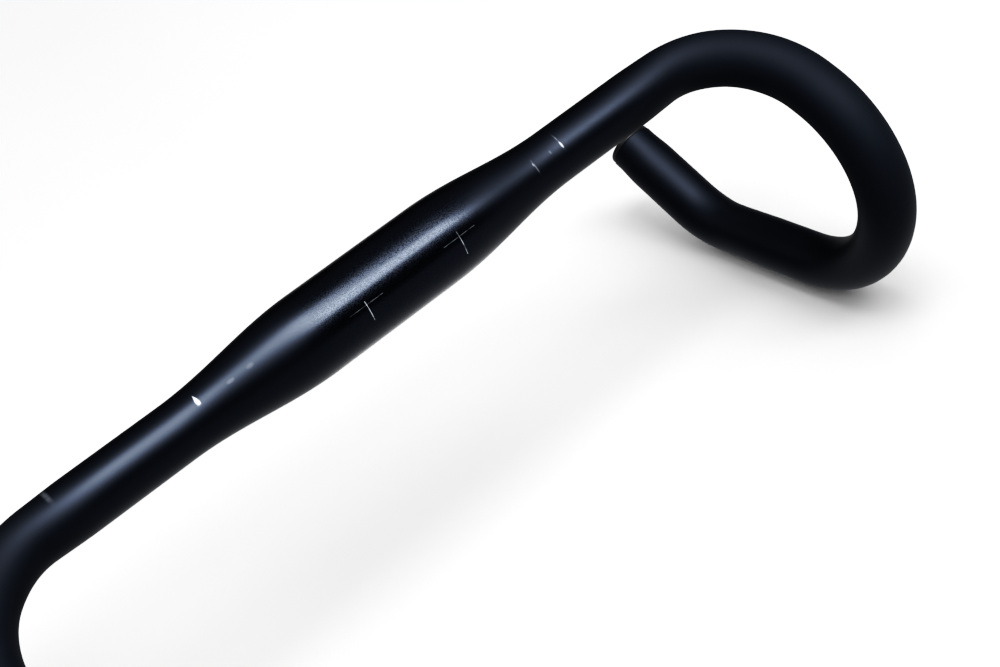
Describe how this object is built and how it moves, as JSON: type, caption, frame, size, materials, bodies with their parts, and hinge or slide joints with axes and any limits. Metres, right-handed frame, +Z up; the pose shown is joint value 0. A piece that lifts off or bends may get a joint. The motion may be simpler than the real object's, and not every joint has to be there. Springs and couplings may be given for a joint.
{
  "type": "drop handlebar",
  "caption": "Drop handlebar: bulged and bent alloy tube with hooked drops, a stem clamp zone, and expanding end plugs that tighten with a screw and pull out.",
  "frame": {"origin": "centre of the stem clamp zone, on the axis of the tops", "axes": "+X along the tops to the rider's right, +Y forward, +Z up, with the grips level as the bar rests on a table"},
  "size_m": [0.4238, 0.1934, 0.1523],
  "materials": {
    "black_alloy": "satin black anodised, worn in the clamp zone",
    "cap_plastic": "fine grain",
    "rubber": "matt",
    "screw_steel": "black oxide",
    "cone_alloy": "turned",
    "jaw_plastic": "moulded"
  },
  "bodies": {
    "bar": {"tops": "black_alloy", "right_shoulder": "black_alloy", "right_grip": "black_alloy", "right_end": "black_alloy", "left_shoulder": "black_alloy", "left_grip": "black_alloy", "left_end": "black_alloy"},
    "right_plug": {"right_cap": "cap_plastic", "right_seal": "rubber", "right_jaw_band": "rubber"},
    "right_screw": {"right_screw": "screw_steel"},
    "right_cone": {"right_cone": "cone_alloy"},
    "right_jaw_a": {"right_jaw_a": "jaw_plastic"},
    "right_jaw_b": {"right_jaw_b": "jaw_plastic"},
    "right_jaw_c": {"right_jaw_c": "jaw_plastic"},
    "left_plug": {"left_cap": "cap_plastic", "left_seal": "rubber", "left_jaw_band": "rubber"},
    "left_screw": {"left_screw": "screw_steel"},
    "left_cone": {"left_cone": "cone_alloy"},
    "left_jaw_a": {"left_jaw_a": "jaw_plastic"},
    "left_jaw_b": {"left_jaw_b": "jaw_plastic"},
    "left_jaw_c": {"left_jaw_c": "jaw_plastic"}
  },
  "joints": [
    {"name": "right_plug_pull", "type": "slide", "parent": "bar", "child": "right_plug", "axis": [0, -0.8387, 0.5446], "range_m": [0, 0.04]},
    {"name": "right_screw_turn", "type": "hinge", "parent": "right_plug", "child": "right_screw", "pos_m": [0.2, -0.10386, -0.09187], "axis": [0, -0.8387, 0.5446], "range_deg": [0, 1080]},
    {"name": "right_cone_slide", "type": "slide", "parent": "right_plug", "child": "right_cone", "axis": [0, 0.8387, -0.5446], "range_m": [0, 0.0024]},
    {"name": "right_jaw_a_slide", "type": "slide", "parent": "right_plug", "child": "right_jaw_a", "axis": [0, -0.5446, -0.8387], "range_m": [0, 0.0006]},
    {"name": "right_jaw_b_slide", "type": "slide", "parent": "right_plug", "child": "right_jaw_b", "axis": [0.866, 0.2723, 0.4193], "range_m": [0, 0.0006]},
    {"name": "right_jaw_c_slide", "type": "slide", "parent": "right_plug", "child": "right_jaw_c", "axis": [-0.866, 0.2723, 0.4193], "range_m": [0, 0.0006]},
    {"name": "left_plug_pull", "type": "slide", "parent": "bar", "child": "left_plug", "axis": [0, -0.8387, 0.5446], "range_m": [0, 0.04]},
    {"name": "left_screw_turn", "type": "hinge", "parent": "left_plug", "child": "left_screw", "pos_m": [-0.2, -0.10386, -0.09187], "axis": [0, -0.8387, 0.5446], "range_deg": [0, 1080]},
    {"name": "left_cone_slide", "type": "slide", "parent": "left_plug", "child": "left_cone", "axis": [0, 0.8387, -0.5446], "range_m": [0, 0.0024]},
    {"name": "left_jaw_a_slide", "type": "slide", "parent": "left_plug", "child": "left_jaw_a", "axis": [0, -0.5446, -0.8387], "range_m": [0, 0.0006]},
    {"name": "left_jaw_b_slide", "type": "slide", "parent": "left_plug", "child": "left_jaw_b", "axis": [-0.866, 0.2723, 0.4193], "range_m": [0, 0.0006]},
    {"name": "left_jaw_c_slide", "type": "slide", "parent": "left_plug", "child": "left_jaw_c", "axis": [0.866, 0.2723, 0.4193], "range_m": [0, 0.0006]}
  ],
  "couplings": [
    {"joint": "right_screw_turn", "follows": "right_cone_slide", "rad_per_m": 7854},
    {"joint": "right_jaw_a_slide", "follows": "right_cone_slide", "ratio": 0.25},
    {"joint": "right_jaw_b_slide", "follows": "right_cone_slide", "ratio": 0.25},
    {"joint": "right_jaw_c_slide", "follows": "right_cone_slide", "ratio": 0.25},
    {"joint": "left_screw_turn", "follows": "left_cone_slide", "rad_per_m": 7854},
    {"joint": "left_jaw_a_slide", "follows": "left_cone_slide", "ratio": 0.25},
    {"joint": "left_jaw_b_slide", "follows": "left_cone_slide", "ratio": 0.25},
    {"joint": "left_jaw_c_slide", "follows": "left_cone_slide", "ratio": 0.25}
  ]
}
